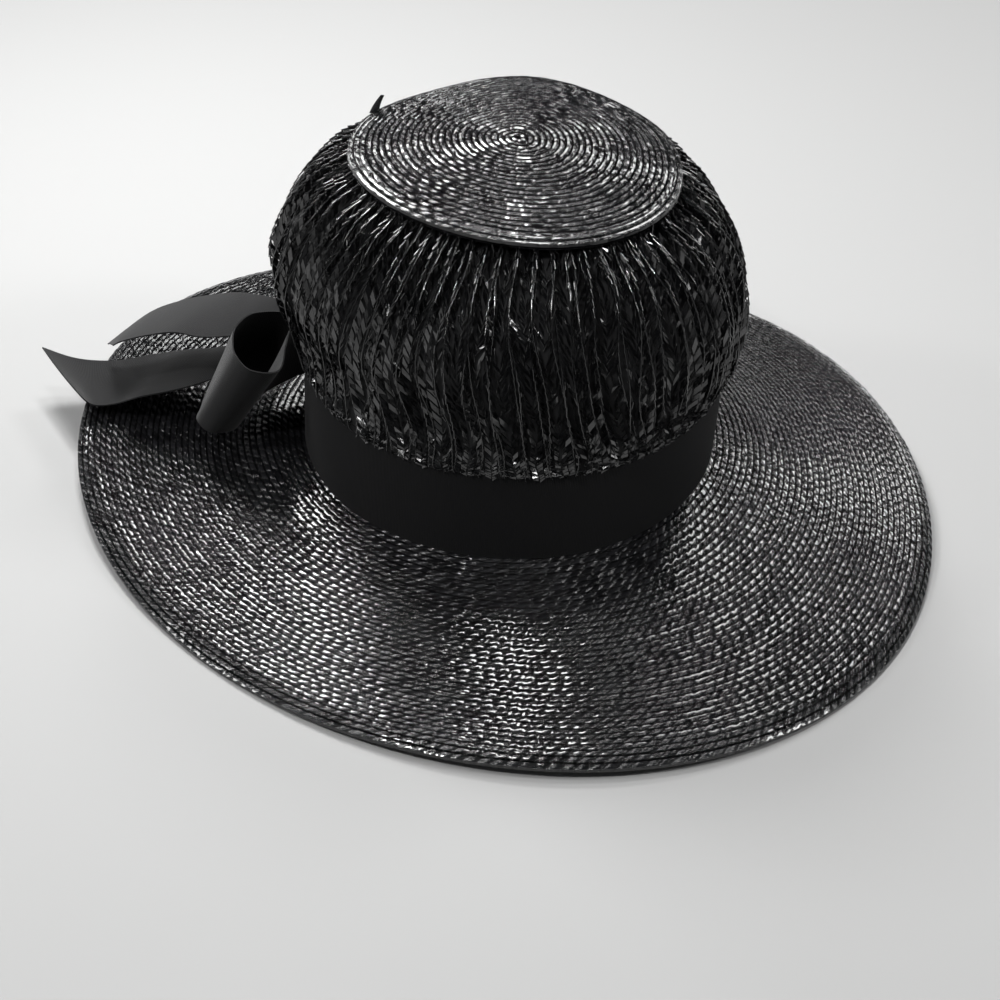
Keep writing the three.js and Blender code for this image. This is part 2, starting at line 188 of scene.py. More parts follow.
# Name, direction from the hat, distance and size in metres, and power in watts.
SOFTBOXES = (
    ("top softbox", (0.03, 0.27, 0.96), 1.6, (0.2, 0.24), 9),
    ("overhead softbox", (-0.05, -0.16, 0.99), 1.6, (0.12, 0.12), 5),
    ("left softbox", (-0.40, 0.50, 0.77), 0.67, (0.17, 0.17), 5),
    ("right softbox", (0.27, 0.63, 0.73), 1.7, (0.35, 0.35), 8),
    ("back softbox", (-0.18, 0.88, 0.43), 1.9, (0.35, 0.3), 3),
    ("back left softbox", (-0.55, 0.70, 0.45), 1.9, (0.25, 0.25), 5),
    ("back right softbox", (0.56, 0.75, 0.35), 1.9, (0.35, 0.3), 4),
    ("low front softbox", (-0.2, -0.96, 0.17), 2.2, (2.4, 0.6), 4.5),
    ("high front softbox", (-0.33, -0.47, 0.82), 1.7, (0.14, 0.14), 15),
    ("left side softbox", (-0.8, -0.12, 0.56), 2.0, (0.3, 0.3), 9),
    ("right side softbox", (0.8, -0.12, 0.56), 2.0, (0.35, 0.35), 14),
)


def waves(table, angle):
    """Sum of the waves of a table round the hat."""
    return sum(reach * np.cos(count * (angle - crest)) for count, reach, crest in table)


def smooth(t):
    t = np.clip(t, 0, 1)
    return t * t * (3 - 2 * t)


def head_shape(angle):
    return 1 + waves(HEAD_WAVES, angle)


def puff_shape(angle):
    return 1 + waves(PUFF_WAVES, angle)


def tip_shape(angle):
    return 1 + waves(TIP_WAVES, angle)


def rim_rise(angle):
    """How far the tip's rim rises towards the back; it sinks again on either side of it."""
    shoulders = np.sin(2 * angle) ** 2 * np.maximum(0, np.sin(angle))
    return TIP_TILT * np.sin(angle) - TIP_SHOULDERS * shoulders


def ring_points(angle, radius, height, centre=(0, 0)):
    """Points round the hat's axis, from polar places and heights above the foot."""
    return np.stack(
        np.broadcast_arrays(
            AXIS_X + centre[0] + radius * np.cos(angle),
            AXIS_Y + centre[1] + radius * np.sin(angle),
            FOOT + height,
        ),
        axis=-1,
    )


def brim_surface(angle, share):
    """Upper face of the brim: share 0 is at the band and share 1 at the edge."""
    inner = HEAD_RADIUS * head_shape(angle)
    outer = BRIM_RADIUS + waves(OUTLINE_WAVES, angle)
    radius = inner + (outer - inner) * share
    lip = np.clip((radius - outer + LIP_WIDTH) / LIP_WIDTH, 0, 1.3)
    turned = (np.mod(angle, TURN) - SWELL["at"]) / SWELL["spread"]
    out = (radius - inner - SWELL["out"]) / SWELL["width"]
    swell = SWELL["height"] * np.exp(-(turned**2)) * np.exp(-(out**2))
    inside = np.clip(share, 0, None)
    height = (
        (BRIM_RISE - STRAW) * np.clip(1 - share, 0, None) ** BRIM_SAG
        + waves(EDGE_WAVES, angle) * inside**1.5
        + LIP_DROP * (share * share - lip * lip)
        + STRAW
        + swell
    )
    return ring_points(angle, radius, height, (BRIM_CENTRE[0] * share, BRIM_CENTRE[1] * share))


def tip_surface(angle, share):
    """Upper face of the crown's tip: share 0 is where the braid starts and share 1 at the rim."""
    radius = TIP_RADIUS * tip_shape(angle) * share
    height = TIP_RIM_HEIGHT + TIP_DOME * (1 - share * share) + rim_rise(angle) * share
    centre = [middle + start * (1 - share) for middle, start in zip(TIP_CENTRE, TIP_APEX)]
    return ring_points(angle, radius, height, centre)


def catmull(points, t):
    """A smooth curve through rows of points, for t from 0 at the first to 1 at the last."""
    last = len(points) - 1
    place = np.clip(t, 0, 1) * last
    low = np.minimum(place.astype(int), last - 1)
    part = (place - low)[..., None]
    before, here, there, after = (points[np.clip(low + k, 0, last)] for k in (-1, 0, 1, 2))
    return 0.5 * (
        2 * here
        + (there - before) * part
        + (2 * before - 5 * here + 4 * there - after) * part**2
        + (3 * here - before - 3 * there + after) * part**3
    )


def crown_surface(angle, climb):
    """Outer face of the puffed crown; climb runs from 0 at its hem to 1 at its tip."""
    section = catmull(CROWN_SECTIONS, climb)
    height, radius = section[..., 0] * MM, section[..., 1] * MM
    head, puff, tip = section[..., 2], section[..., 3], section[..., 4]
    shape = head * head_shape(angle) + puff * puff_shape(angle) + tip * tip_shape(angle)
    folds = waves(FOLD_WAVES, angle) * np.sin(math.pi * np.clip(climb, 0, 1))
    lean = smooth((height - LEAN_HEIGHTS[0]) / (LEAN_HEIGHTS[1] - LEAN_HEIGHTS[0]))
    x = CROWN_LEAN[0] * lean * (1 - tip) + TIP_CENTRE[0] * tip
    y = CROWN_LEAN[1] * lean * (1 - tip) + TIP_CENTRE[1] * tip
    raised = height + rim_rise(angle) * tip
    return ring_points(angle, radius * shape + folds, raised, (x, y))


def unit(vectors):
    return vectors / np.maximum(np.linalg.norm(vectors, axis=-1, keepdims=True), 1e-12)


def outward(surface, angle, share, step=2e-4):
    """Outward normal of a surface that is a function of the angle and of a share across it."""
    along = surface(angle + step, share) - surface(angle - step, share)
    across = surface(angle, share + step) - surface(angle, share - step)
    normal = unit(np.cross(along, across))
    away = ring_points(angle, 1.0, 1.0) - ring_points(angle, 0.0, 0.0)
    facing = np.sign(np.sum(normal * away, axis=-1, keepdims=True))
    return normal * facing


# ---- Mesh helpers ----
def deselect():
    if bpy.context.mode != "OBJECT":
        bpy.ops.object.mode_set(mode="OBJECT")
    bpy.ops.object.select_all(action="DESELECT")


def pick(piece):
    """Makes a piece the only one selected, and active."""
    deselect()
    piece.select_set(True)
    bpy.context.view_layer.objects.active = piece


def edit_mesh(*steps):
    """Runs mesh operators, each given with its settings, on the whole of the active mesh."""
    bpy.ops.object.mode_set(mode="EDIT")
    bpy.ops.mesh.select_all(action="SELECT")
    for step, settings in steps:
        step(**settings)
    bpy.ops.object.mode_set(mode="OBJECT")


def mesh_points(piece):
    points = np.empty(len(piece.data.vertices) * 3)
    piece.data.vertices.foreach_get("co", points)
    return points.reshape(-1, 3)


def set_points(piece, points):
    piece.data.vertices.foreach_set("co", np.ascontiguousarray(points, dtype=np.float32).ravel())
    piece.data.update()


def set_uv(piece, u, v):
    """Writes a UV for every face corner from values at the mesh's points."""
    corners = np.empty(len(piece.data.loops), dtype=np.int32)
    piece.data.loops.foreach_get("vertex_index", corners)
    layer = piece.data.uv_layers.active or piece.data.uv_layers.new(name="Laid")
    pairs = np.stack((u[corners], v[corners]), axis=-1).astype(np.float32)
    layer.data.foreach_set("uv", pairs.ravel())


def laid_grid(name, columns, lines, lay, closed=False, flip=False):
    """A grid primitive laid on a surface: lay(u, v) gives points, and the pair for the UV map."""
    deselect()
    bpy.ops.mesh.primitive_grid_add(x_subdivisions=columns, y_subdivisions=lines, size=2)
    piece = bpy.context.object
    piece.name = name
    flat = mesh_points(piece)
    u, v = (flat[:, 0] + 1) / 2, (flat[:, 1] + 1) / 2
    points, map_u, map_v = lay(u, v)
    set_points(piece, points)
    set_uv(piece, map_u, map_v)
    steps = []
    if closed:
        steps.append((bpy.ops.mesh.remove_doubles, {"threshold": 1e-6}))
    if flip:
        steps.append((bpy.ops.mesh.flip_normals, {}))
    edit_mesh(*steps)
    return piece


def joined(name, pieces):
    """Several meshes made one."""
    deselect()
    for piece in pieces:
        piece.select_set(True)
    bpy.context.view_layer.objects.active = pieces[0]
    if len(pieces) > 1:
        bpy.ops.object.join()
    whole = bpy.context.object
    whole.name = name
    whole.data.name = name
    return whole


def shade(piece, soft=True, angle=None):
    """Shades a piece smooth, flat, or smooth up to edges of an angle."""
    pick(piece)
    if angle is not None:
        bpy.ops.object.shade_smooth_by_angle(angle=angle)
    elif soft:
        bpy.ops.object.shade_smooth()
    else:
        bpy.ops.object.shade_flat()


def thicken(piece, thickness, offset=-1.0):
    """Gives a sheet its thickness, with its rim closed."""
    pick(piece)
    bpy.ops.object.modifier_add(type="SOLIDIFY")
    wall = piece.modifiers[-1]
    wall.thickness = thickness
    wall.offset = offset
    bpy.ops.object.modifier_apply(modifier=wall.name)


def finish_piece(piece, material, slot, *nodes):
    """Gives a piece its finish and fastens it to the hat in place of the named solids."""
    piece.data.materials.clear()
    piece.data.materials.append(material)
    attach(piece, "root")
    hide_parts(*nodes)


# ---- Materials ----
class Nodes:
    """A material's node tree, with short calls to add nodes and links."""

    def __init__(self, name):
        self.material = bpy.data.materials.new(name)
        self.material.use_nodes = True
        self.tree = self.material.node_tree
        self.shader = self.tree.nodes["Principled BSDF"]

    def add(self, kind, **settings):
        node = self.tree.nodes.new(kind)
        for key, value in settings.items():
            if hasattr(node, key):
                setattr(node, key, value)
            else:
                node.inputs[key].default_value = value
        return node

    def link(self, source, output, target, socket):
        self.tree.links.new(source.outputs[output], target.inputs[socket])

    def math(self, operation, first, second=None):
        """A Math node; each input is a number or a (node, output) pair."""
        node = self.add("ShaderNodeMath", operation=operation)
        for place, value in enumerate((first, second)):
            if isinstance(value, tuple):
                self.link(value[0], value[1], node, place)
            elif value is not None:
                node.inputs[place].default_value = value
        return (node, 0)

    def centred(self, node, output, reach):
        """A value from 0 to 1, moved to lie from -reach to reach, mostly near 0."""
        shift = self.math("MULTIPLY", self.math("SUBTRACT", (node, output), 0.5), 2.0)
        strong = self.math("MULTIPLY", self.math("POWER", shift, 3.0), 0.5 * reach)
        return self.math("ADD", self.math("MULTIPLY", shift, 0.5 * reach), strong)

    def ramp(self, source, low, high, bottom, top):
        """Maps a value from low..high to bottom..top, kept inside it."""
        node = self.add("ShaderNodeMapRange")
        self.link(source[0], source[1], node, "Value")
        limits = {"From Min": low, "From Max": high, "To Min": bottom, "To Max": top}
        for key, value in limits.items():
            node.inputs[key].default_value = value
        return (node, 0)

    def bump(self, height, strength, distance):
        """Raises the surface by a height."""
        node = self.add("ShaderNodeBump", Strength=strength, Distance=distance)
        self.link(*height, node, "Height")
        self.link(node, "Normal", self.shader, "Normal")

    def tone(self, colour, dark, light, factor):
        """Colours the surface between two strengths of a colour."""
        node = self.add("ShaderNodeMix", data_type="RGBA")
        for key, strength in (("A", dark), ("B", light)):
            node.inputs[key].default_value = (*[c * strength for c in colour], 1)
        self.link(*factor, node, "Factor")
        self.link(node, "Result", self.shader, "Base Color")

    def fibres(self, scale_u, scale_v):
        """Fine fibres that follow the UV map."""
        node = self.add("ShaderNodeTexNoise", Scale=1.0, Detail=2.0, Roughness=0.6)
        self.link(self.stretched(scale_u, scale_v), "Vector", node, "Vector")
        return (node, "Fac")

    def stretched(self, scale_u, scale_v):
        """The piece's UV map, scaled."""
        coordinates = self.add("ShaderNodeTexCoord")
        mapping = self.add("ShaderNodeMapping")
        mapping.inputs["Scale"].default_value = (scale_u, scale_v, 1)
        self.link(coordinates, "UV", mapping, "Vector")
        return mapping


def lacquered(made, colour, roughness, patches, face):
    """Black lacquer: its tone and gloss follow the patches, and it is darkened where face is low,
    which paints shade into the hollows of the braid.
    """
    shader = made.shader
    shader.inputs["Coat Weight"].default_value = 0.5
    shader.inputs["Coat Roughness"].default_value = 0.09
    shader.inputs["IOR"].default_value = 1.45
    made.link(*made.ramp(patches, 0.2, 0.8, roughness * 0.75, roughness * 1.4), shader, "Roughness")
    # Random patches give the straw's own tone; where face is low the colour is darkened further, as
    # painted shade.
    made.tone(colour, 0.4, 1.5, made.math("MULTIPLY", patches, face))


def braided_straw(name, colour, braid):
    """Lacquered rope-like braid. Its UV map counts crossings along a row, and rows across it."""
    made = Nodes(name)
    place = made.add("ShaderNodeTexCoord")
    parts = made.add("ShaderNodeSeparateXYZ")
    made.link(place, "UV", parts, "Vector")
    across = made.math("FRACT", (parts, "Y"))
    lumps = made.math("ADD", (parts, "X"), made.math("MULTIPLY", across, braid["slant"]))
    along = made.math("FRACT", lumps)
    number = made.add("ShaderNodeCombineXYZ")
    made.link(*made.math("FLOOR", lumps), number, "X")
    made.link(*made.math("FLOOR", (parts, "Y")), number, "Y")
    chance = made.add("ShaderNodeTexWhiteNoise", noise_dimensions="2D")
    made.link(number, "Vector", chance, "Vector")
    chances = made.add("ShaderNodeSeparateColor")
    made.link(chance, "Color", chances, "Color")
    # Each crossing tips a little its own way, and a groove parts it from the next.
    lean = made.centred(chances, "Red", 0.75 * braid["loose"])
    roll = made.centred(chances, "Green", 0.6 * braid["loose"])
    tip_along = made.math("MULTIPLY", made.math("SUBTRACT", along, 0.5), lean)
    tip_across = made.math("MULTIPLY", made.math("SUBTRACT", across, 0.5), roll)
    to_end = made.math("PINGPONG", lumps, 0.5)
    from_middle = made.math("SUBTRACT", 0.5, to_end)
    lump = made.math("MULTIPLY", made.math("POWER", from_middle, 2.0), -1.5 * braid["lump"])
    groove = made.math("ADD", lump, made.ramp(to_end, 0.0, 0.1, -0.16, 0.0))
    height = made.math("ADD", made.math("ADD", tip_along, tip_across), groove)
    height = made.math("ADD", height, made.math("MULTIPLY", made.fibres(2.0, 9.0), 0.16))
    made.bump(height, 1.0, 1.0 * MM)
    # Painted shade: the colour darkens in the grooves between rows and at the ends of each
    # crossing, where shade falls.
    out_of_groove_shade = made.ramp(made.math("PINGPONG", (parts, "Y"), 0.5), 0.03, 0.2, 0.0, 1.0)
    face = made.math("MULTIPLY", out_of_groove_shade, made.ramp(to_end, 0.0, 0.15, 0.2, 1.0))
    lacquered(made, colour, 0.15, (chances, "Blue"), face)
    return made.material


def plaited_straw(name, colour):
    """Lacquered flat straw, with fibres along its leaves. Its UV map is in metres."""
    made = Nodes(name)
    place = made.add("ShaderNodeTexCoord")
    patches = made.add("ShaderNodeTexNoise", Scale=300.0, Detail=2.0)
    made.link(place, "Object", patches, "Vector")
    made.bump(made.fibres(2600.0, 500.0), 1.0, 0.08 * MM)
    lacquered(made, colour, 0.18, (patches, "Fac"), 1.0)
    made.shader.inputs["Coat Weight"].default_value = 1.0
    return made.material


def ribbed_ribbon(name, colour, sheen):
    """Matt woven ribbon with fine ribs across it. Its UV map is in metres."""
    made = Nodes(name)
    shader = made.shader
    shader.inputs["Roughness"].default_value = 0.88
    shader.inputs["Sheen Weight"].default_value = sheen
    shader.inputs["Sheen Roughness"].default_value = 0.45
    shader.inputs["Specular IOR Level"].default_value = 0.2
    rib = 0.7 * MM
    place = made.stretched(1 / rib, 1 / rib)
    parts = made.add("ShaderNodeSeparateXYZ")
    made.link(place, "Vector", parts, "Vector")
    ribs = made.math("SINE", made.math("MULTIPLY", (parts, "X"), TURN))
    cloudy = made.add("ShaderNodeTexNoise", Scale=0.8, Detail=4.0)
    made.link(place, "Vector", cloudy, "Vector")
    height = made.math("ADD", made.math("MULTIPLY", ribs, 0.5), (cloudy, "Fac"))
    made.bump(height, 0.5, 0.12 * MM)
    made.tone(colour, 0.8, 1.2, (cloudy, "Fac"))
    return made.material


def plain_material(name, colour, roughness):
    made = Nodes(name)
    made.shader.inputs["Base Color"].default_value = (*colour, 1)
    made.shader.inputs["Roughness"].default_value = roughness
    return made.material


# ---- Sewn rows of braid ----
SHOULDER = 34 * DEGREE  # a sharper edge than this stays sharp in the braid's shading
# A row of braid in section: places across it, and the share of its rise there.
ROW_PLACES = (-0.05, 0.17, 0.5, 0.83, 1.05)
ROW_HEIGHTS = (-0.25, 0.92, 1.0, 0.92, -0.25)
ROW_LINES = len(ROW_PLACES) - 1
BEAD_STEPS = 5  # grid columns in one crossing of the braid


def braid_of(size, place):
    """The braid's measures: length, slant and rise of a crossing, how round its row is, how deep
    the gaps between crossings are, and how loosely the crossings lie."""
    if place == "tip":
        length, slant = size.bead_length * 1.3, size.bead_slant * 0.4
        measures = (length, slant, size.tip_rise, 1.7, 0.7, 1.1)
    else:
        measures = (size.bead_length, size.bead_slant, size.row_rise, 0.2, 1.15, 1.0)
    return dict(zip(("length", "slant", "rise", "crest", "lump", "loose"), measures))


def row_share(row, rows):
    """Share across the brim of a row of braid; the rows are a little wider by the band."""
    wide, narrower = 0.92, 0.08
    place = np.clip(row / rows, -0.02, 1.02)
    return (-wide + np.sqrt(wide * wide + 4 * narrower * place)) / (2 * narrower)


def row_place(v):
    """Place across a row of braid, for v from 0 to 1 over the lines of its grid."""
    return np.interp(v, np.linspace(0, 1, len(ROW_PLACES)), ROW_PLACES)


def rope_height(across, beads, seed, braid):
    """Relief of one row of rope-like braid. across is 0..1 over the row, beads counts along it."""
    lumps = beads + braid["slant"] * across
    number = np.floor(lumps).astype(int)
    along = lumps - number
    chance = np.random.default_rng(seed).random((3, number.max() - number.min() + 2))
    lift, lean, roll = chance[:, number - number.min()] - 0.5
    ridge = np.interp(across, ROW_PLACES, ROW_HEIGHTS)
    ridge = ridge - braid["crest"] * (across - 0.5) ** 2
    bead = np.sin(math.pi * along) ** 0.5
    loose = braid["loose"]
    tilt = (along - 0.5) * 0.3 * loose * lean + (across - 0.5) * 0.4 * loose * roll
    lump = 0.3 * braid["lump"] * (bead - 1)
    return braid["rise"] * (ridge * (1 + lump + 0.14 * loose * lift + tilt) - 0.2)


def sewn_row(name, surface, row, rows, braid, share_of=row_share, steps=BEAD_STEPS, side=1):
    """One closed ring of braid laid on a surface. side is 1 on its outer face and -1 under it."""
    middle = share_of(np.array(row + 0.5), rows)
    ring = surface(np.linspace(0, TURN, 200), np.full(200, middle))
    length = np.linalg.norm(np.diff(ring, axis=0), axis=1).sum()
    beads = round(length / braid["length"])
    start = np.random.default_rng(int(row * 10) + 7).random()

    def lay(u, v):
        angle = u * TURN
        across = row_place(v)
        share = share_of(row + across, rows)
        count = u * beads + start
        height = rope_height(across, np.mod(count, beads + 1e-9), int(row * 10), braid)
        base = surface(angle, share)
        normal = outward(surface, angle, share)
        if side < 0:
            base = base - normal * STRAW
        return base + normal * height[:, None] * side, count, row + across

    return laid_grid(name, beads * steps, ROW_LINES, lay, closed=True, flip=side > 0)


# ---- Properties ----
def length_property(name, description, default):
    return bpy.props.FloatProperty(
        name=name, description=description, default=default, unit="LENGTH"
    )


def colour_property(name, description, default):
    return bpy.props.FloatVectorProperty(
        name=name, description=description, default=default, subtype="COLOR"
    )


class HatSizes(bpy.types.PropertyGroup):
    brim_rows: bpy.props.IntProperty(
        name="Brim Rows", description="Rows of braid in the brim", default=38
    )
    tip_rows: bpy.props.IntProperty(
        name="Tip Rows", description="Turns of braid in the tip", default=25
    )
    bead_length: length_property("Bead Length", "Length of one crossing of the braid", 5.2 * MM)
    row_rise: length_property("Row Rise", "How far a row of the brim stands out", 1.0 * MM)
    tip_rise: length_property("Tip Row Rise", "How far a row of the tip stands out", 1.2 * MM)
    bead_slant: bpy.props.FloatProperty(
        name="Bead Slant", description="How far a crossing slants over its row", default=0.7
    )
    crown_strips: bpy.props.IntProperty(
        name="Crown Strips", description="Plaited strips round the crown", default=68
    )
    plait_width: length_property("Plait Width", "Width of a plaited strip", 13.6 * MM)
    plait_pitch: length_property(
        "Plait Pitch", "Distance between crossings of a plaited strip", 4.2 * MM
    )
    ribbon_thickness: length_property("Ribbon Thickness", "Thickness of the ribbon", 0.6 * MM)


class HatColours(bpy.types.PropertyGroup):
    straw: colour_property("Straw", "Lacquer on the sewn braid", (0.0065, 0.0065, 0.0072))
    plait: colour_property("Plait", "Lacquer on the plaited strips", (0.0028, 0.0028, 0.0032))
    ribbon: colour_property("Ribbon", "Colour of the band and the bow", (0.0032, 0.0032, 0.0036))
    floor: colour_property("Floor", "Colour of the floor", (0.325, 0.325, 0.323))


# ---- Brim ----
class HAT_OT_sew_brim(bpy.types.Operator):
    """Sew the brim from rows of rope-like braid"""

    bl_idname = "hat.sew_brim"
    bl_label = "Sew Brim"

    def execute(self, context):
        size = context.scene.hat_sizes
        braid = braid_of(size, "brim")
        straw = braided_straw("brim braid", context.scene.hat_colours.straw, braid)
        count = size.brim_rows
        half = count // 2 + 3  # the inner rows are shorter, so the inner piece has more of them
        for name, rows, steps, side in (
            ("brim_rows_inner", range(half), BEAD_STEPS, 1),
            ("brim_rows_outer", range(half, count), BEAD_STEPS, 1),
            ("brim_underside", range(count), 2, -1),
        ):
            sewn = [
                sewn_row(name, brim_surface, row, count, braid, steps=steps, side=side)
                for row in rows
            ]
            piece = joined(name, sewn)
            shade(piece, angle=SHOULDER)
            finish_piece(piece, straw, "brim_braid", "brim")
        self.bind_edge(straw)
        self.raise_collar(straw)
        return {"FINISHED"}

    def bind_edge(self, straw):
        """The last row is rolled over the edge of the brim."""
        crossings = 255

        def lay(u, v):
            angle = u * TURN
            round_edge = math.pi * (0.62 - 1.24 * v)
            share = np.full_like(u, 1.0)
            base = brim_surface(angle, share)
            beyond, within = brim_surface(angle, share + 1e-3), brim_surface(angle, share - 1e-3)
            outwards = unit(beyond - within)
            up = outward(brim_surface, angle, share)
            beads = u * crossings
            thick = 1.15 * MM + 0.12 * MM * np.sin(math.pi * np.mod(beads + 0.7 * v, 1)) ** 0.5
            middle = base - up * STRAW / 2 - outwards * 1.0 * MM
            tube = np.cos(round_edge)[:, None] * outwards + np.sin(round_edge)[:, None] * up
            return middle + tube * thick[:, None], beads, v * 2

        piece = laid_grid("brim_edge", crossings * BEAD_STEPS, 8, lay, closed=True)
        shade(piece)
        finish_piece(piece, straw, "brim_braid", "brim")

    def raise_collar(self, straw):
        """The upstand inside the band, in one with the brim."""
        top, foot = 70.5 * MM, 22.7 * MM
        rows_up, crossings = 18, 125

        def lay(u, v):
            angle = u * TURN
            height = foot + (top - foot) * v
            rows = v * rows_up
            ripple = 0.35 * MM * np.abs(np.sin(math.pi * rows)) ** 0.7
            radius = HEAD_RADIUS * head_shape(angle) - STRAW - ripple
            return ring_points(angle, radius, height), u * crossings, rows

        piece = laid_grid("brim_collar", 2 * crossings, 5 * rows_up, lay, closed=True, flip=True)
        thicken(piece, 0.9 * MM)
        shade(piece)
        finish_piece(piece, straw, "brim_braid", "brim")


# ---- Crown ----
class HAT_OT_coil_tip(bpy.types.Operator):
    """Coil the tip of the crown from one length of braid"""

    bl_idname = "hat.coil_tip"
    bl_label = "Coil Tip"

    def execute(self, context):
        size = context.scene.hat_sizes
        braid = braid_of(size, "tip")
        straw = braided_straw("tip braid", context.scene.hat_colours.straw, braid)
        coil = self.coil(size, braid)
        rims = [self.rim_row(size, braid, step) for step in (0, 1)]
        piece = joined("crown_tip_rows", [coil, *rims, self.loose_end()])
        shade(piece, angle=SHOULDER)
        finish_piece(piece, straw, "tip_braid", "crown_tip")
        under = self.underside(size)
        shade(under)
        finish_piece(under, straw, "tip_braid", "crown_tip")
        return {"FINISHED"}

    def rows_across(self, size):
        """Rows from the tip's middle to its rim; the last turn is not a full row wider."""
        return size.tip_rows + 0.8

    def coil(self, size, braid):
        """A flat spiral: the share across the tip grows by one row in each turn."""
        turns = size.tip_rows - 1.0
        mean = TIP_RADIUS * turns / (size.tip_rows + 1)
        length = math.pi * mean * turns
        beads = int(length / braid["length"])

        def lay(u, v):
            # The root keeps crossings as long at the rim as in the middle.
            turned = np.sqrt(0.0005 + 0.9995 * u) * turns
            angle = turned * TURN
            across = row_place(v)
            share = np.clip((turned + across - 0.5) / self.rows_across(size), 0.0, 1.0)
            count = u * beads
            height = rope_height(across, count, 91, braid)
            base = tip_surface(angle, share)
            normal = outward(tip_surface, angle, np.clip(share, 0.004, 1))
            normal[normal[:, 2] < 0] *= -1
            return base + normal * height[:, None], count, across + 3 * np.floor(turned)

        return laid_grid("tip_coil", beads * BEAD_STEPS, ROW_LINES, lay, flip=True)

    def rim_row(self, size, braid, step):
        """The last rows lie flat at the rim, one over the other."""
        rows = self.rows_across(size)
        row = rows - 1.0 - 0.98 * step

        def share_of(row, count):
            return np.clip(row / count, 0, 1.002)

        lower = dict(braid, rise=braid["rise"] * (0.6 + 0.25 * step), crest=1.8 - 0.4 * step)
        return sewn_row("rim", tip_surface, row, rows, lower, share_of=share_of)

    def loose_end(self):
        """The end of the braid stands up at the rim, on the left at the back."""
        foot = tip_surface(np.array([TIP_END]), np.array([0.985]))[0]
        away = np.array((math.cos(TIP_END), math.sin(TIP_END), 0))
        aside = np.array((1.0, 0.0, 0.0))

        def lay(u, v):
            climb = (v * 8.0 * MM)[:, None]
            wide = ((u - 0.5) * (4.0 - 2.4 * v) * MM)[:, None]
            bow = (2.6 * MM * v * v + 2.4 * MM * v)[:, None]
            points = foot + aside * (wide + bow) + away * bow * 0.4
            return points + np.array((0, 0, 1)) * climb, u, v

        piece = laid_grid("tip_end", 3, 6, lay)
        thicken(piece, 0.8 * MM, 0)
        return piece

    def underside(self, size):
        """The inside of the tip: rows that follow its outer face."""

        def lay(u, v):
            angle = u * TURN
            share = np.clip(0.002 + 0.998 * v, 0, 1)
            rows = share * self.rows_across(size)
            ripple = 0.4 * MM * np.abs(np.sin(math.pi * rows)) ** 0.7
            below = (STRAW - 0.3 * MM + ripple)[:, None]
            return tip_surface(angle, share) - np.array([0, 0, 1]) * below, u * 60, rows

        return laid_grid("crown_tip_underside", 180, 100, lay, closed=True)


